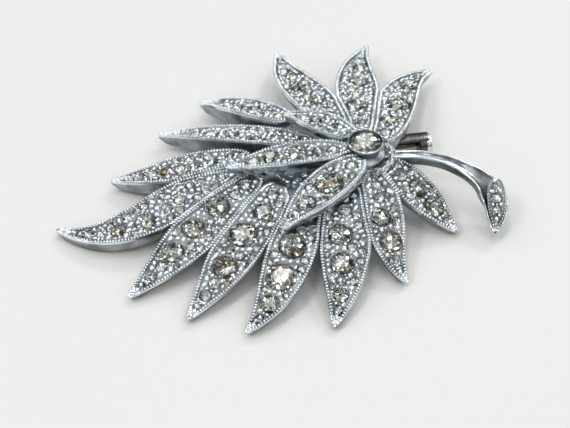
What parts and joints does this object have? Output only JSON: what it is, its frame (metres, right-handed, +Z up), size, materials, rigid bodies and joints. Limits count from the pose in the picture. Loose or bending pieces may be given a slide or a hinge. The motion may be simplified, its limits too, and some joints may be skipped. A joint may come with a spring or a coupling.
{
  "type": "leaf brooch",
  "caption": "Tiered leaf brooch: stone-set leaflets spread from a round centre stone and a curved grooved stem, with a pin on its back.",
  "frame": {"origin": "middle of the brooch's box, on the surface it lies on", "axes": "+X along the leaf towards the stem's end, +Y away from the viewer of the picture, +Z up out of the stone side"},
  "size_m": [0.0656, 0.0587, 0.0108],
  "materials": {
    "plated_metal": "bright rhodium-like plating with beaded rims",
    "rhinestone": "clear cut glass over foil, champagne grey",
    "pin_steel": "plain plated steel"
  },
  "bodies": {
    "root": {"leaf_casting": "plated_metal", "upper_spray": "plated_metal", "centre_stone": "rhinestone", "pave_outer": "rhinestone", "pave_upper": "rhinestone", "pin_back": "pin_steel", "stone_1_1": "rhinestone", "stone_1_2": "rhinestone", "stone_1_3": "rhinestone", "stone_2_1": "rhinestone", "stone_2_2": "rhinestone", "stone_2_3": "rhinestone", "stone_3_1": "rhinestone", "stone_3_2": "rhinestone", "stone_3_3": "rhinestone", "stone_4_1": "rhinestone", "stone_4_2": "rhinestone", "stone_5_1": "rhinestone", "stone_5_2": "rhinestone", "stone_6_1": "rhinestone", "stone_6_2": "rhinestone", "stone_6_3": "rhinestone", "stone_7_1": "rhinestone", "stone_7_2": "rhinestone", "stone_7_3": "rhinestone", "stone_8_1": "rhinestone", "stone_8_2": "rhinestone", "stone_8_3": "rhinestone", "stone_9_1": "rhinestone", "stone_9_2": "rhinestone", "stone_9_3": "rhinestone", "stone_10_1": "rhinestone", "stone_10_2": "rhinestone", "stone_11_1": "rhinestone", "stone_11_2": "rhinestone", "stone_12_1": "rhinestone", "stone_12_2": "rhinestone", "stone_13_1": "rhinestone", "stone_13_2": "rhinestone", "stone_14_1": "rhinestone", "stone_14_2": "rhinestone", "stone_15_1": "rhinestone", "stone_15_2": "rhinestone", "stone_15_3": "rhinestone", "stone_16_1": "rhinestone", "stone_16_2": "rhinestone"}
  },
  "joints": []
}
